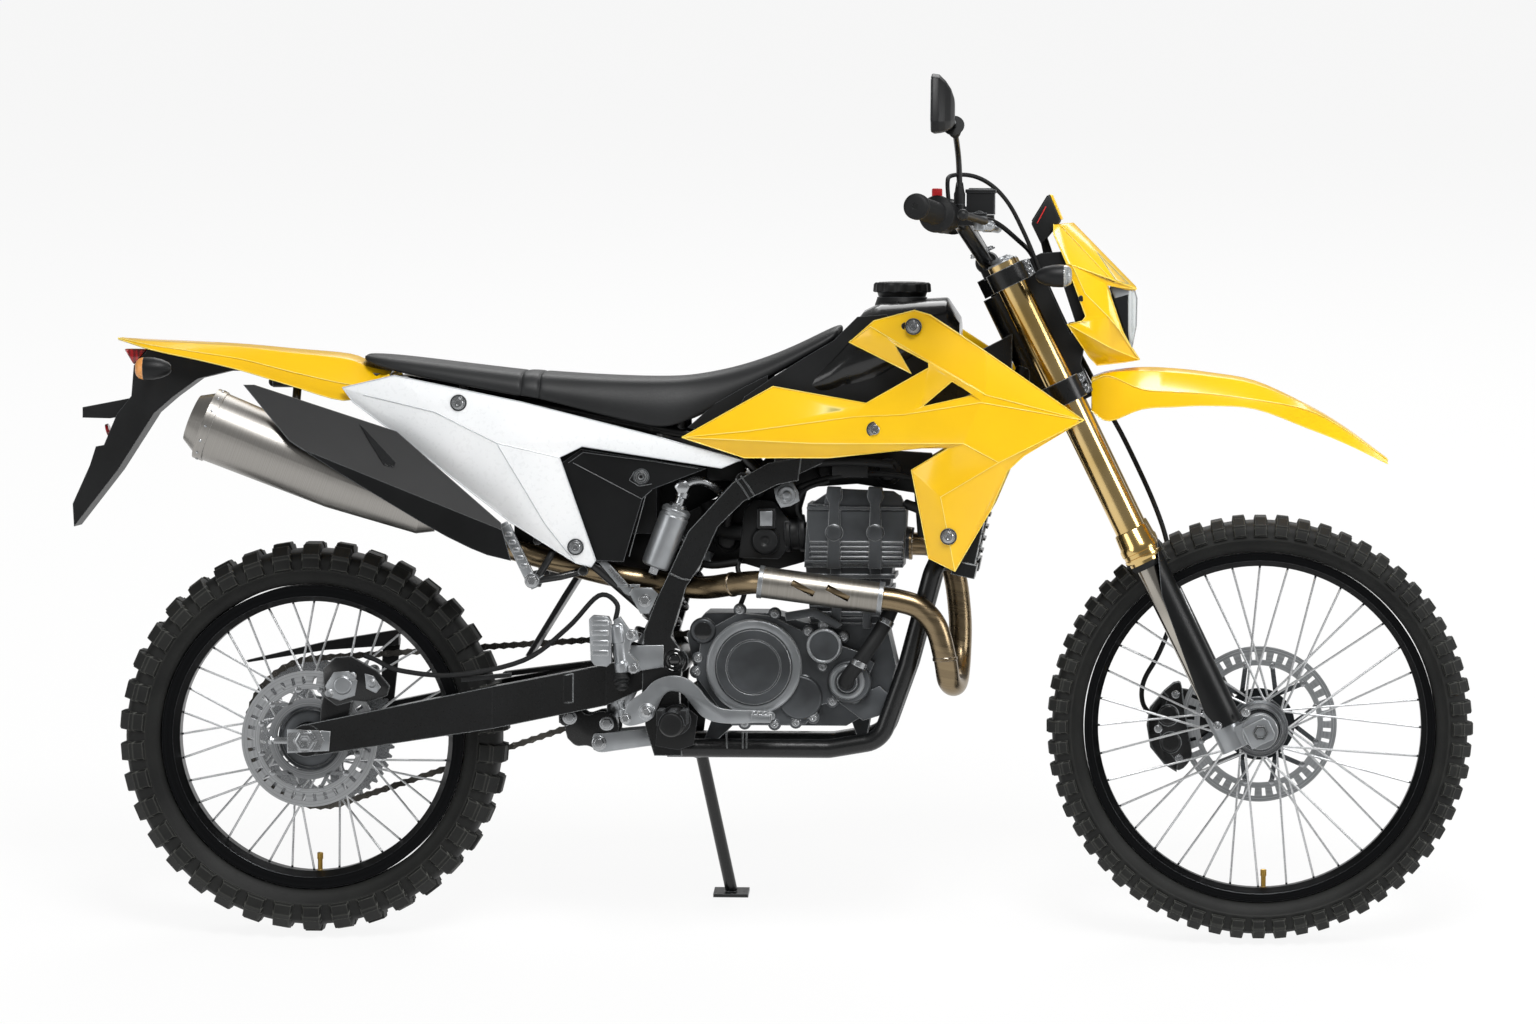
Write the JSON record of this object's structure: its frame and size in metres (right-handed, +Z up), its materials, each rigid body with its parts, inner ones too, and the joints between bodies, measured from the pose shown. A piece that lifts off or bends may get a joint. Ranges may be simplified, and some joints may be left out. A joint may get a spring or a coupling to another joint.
{
  "type": "dual sport motorcycle",
  "caption": "Dual sport motorcycle leaning on its side stand, with turning spoked wheels, steering and a folding stand.",
  "frame": {"origin": "middle of the bounding box, on the ground under the machine as it leans on its side stand", "axes": "+X forward along the machine, +Y to the rider's left, the side it leans to, +Z up"},
  "size_m": [2.2596, 0.8471, 1.4294],
  "materials": {
    "black_gloss": "gloss",
    "black_metal": "satin",
    "black_plastic": "satin",
    "bronze_pipe": "heat-tinted",
    "chain_steel": "oiled",
    "chrome_tube": "polished",
    "clear_lens": "gloss",
    "engine_grey": "satin",
    "gold_tube": "anodised",
    "grip_rubber": "matte",
    "red_lens": "gloss",
    "seat_cover": "matte",
    "silver_metal": "brushed",
    "steel": "brushed",
    "tyre": "matte",
    "white_plastic": "gloss",
    "yellow_plastic": "gloss"
  },
  "bodies": {
    "chassis": {"air_box": "black_plastic", "chain": "chain_steel", "chain_guard": "black_plastic", "crankcase": "engine_grey", "cylinder": "engine_grey", "engine_covers": "engine_grey", "exhaust_pipe": "bronze_pipe", "foot_levers": "silver_metal", "foot_pegs": "black_metal", "frame": "black_metal", "fuel_cap": "black_plastic", "fuel_tank": "black_gloss", "heat_shield": "steel", "mud_flap": "black_plastic", "plate_holder": "black_plastic", "radiator_shrouds": "yellow_plastic", "radiators": "silver_metal", "rear_axle": "steel", "rear_brake": "black_metal", "rear_fender": "yellow_plastic", "rear_lamps": "red_lens", "seat": "seat_cover", "shock_absorber": "silver_metal", "shock_linkage": "silver_metal", "side_covers": "black_plastic", "side_panels": "white_plastic", "silencer": "steel", "silencer_guard": "black_plastic", "subframe": "black_metal", "swingarm": "black_metal"},
    "steering": {"fork_outer_tubes": "gold_tube", "fork_inner_tubes": "chrome_tube", "fork_feet": "black_metal", "fork_guards": "black_plastic", "triple_clamps": "black_metal", "handlebar": "black_metal", "hand_grips": "grip_rubber", "hand_controls": "black_plastic", "mirror": "black_plastic", "headlight_cowl": "yellow_plastic", "headlight": "clear_lens", "front_fender": "yellow_plastic", "instrument": "black_plastic", "lamp_bracket": "black_plastic", "front_indicators": "black_plastic", "front_axle": "steel", "front_caliper": "black_metal", "throttle_cable": "grip_rubber", "brake_hose": "grip_rubber"},
    "front_wheel": {"front_tyre": "tyre", "front_wire_wheel": "black_gloss", "front_disc": "steel"},
    "rear_wheel": {"rear_tyre": "tyre", "rear_wire_wheel": "black_gloss", "rear_disc": "steel", "rear_sprocket": "steel"},
    "side_stand": {"side_stand": "black_metal"}
  },
  "joints": [
    {"name": "steering", "type": "hinge", "parent": "chassis", "child": "steering", "pos_m": [0.45642, -0.05377, 0.84045], "axis": [-0.4384, 0.1561, 0.8851], "range_deg": [-40, 40]},
    {"name": "front_wheel_spin", "type": "hinge", "parent": "steering", "child": "front_wheel", "pos_m": [0.78816, -0.14217, 0.33909], "axis": [0, 0.9848, -0.1736], "continuous": true},
    {"name": "rear_wheel_spin", "type": "hinge", "parent": "chassis", "child": "rear_wheel", "pos_m": [-0.73984, -0.14651, 0.31447], "axis": [0, 0.9848, -0.1736], "continuous": true},
    {"name": "side_stand_fold", "type": "hinge", "parent": "chassis", "child": "side_stand", "pos_m": [-0.12484, -0.03395, 0.2733], "axis": [0, 0.9877, 0.1564], "range_deg": [0, 95]}
  ]
}
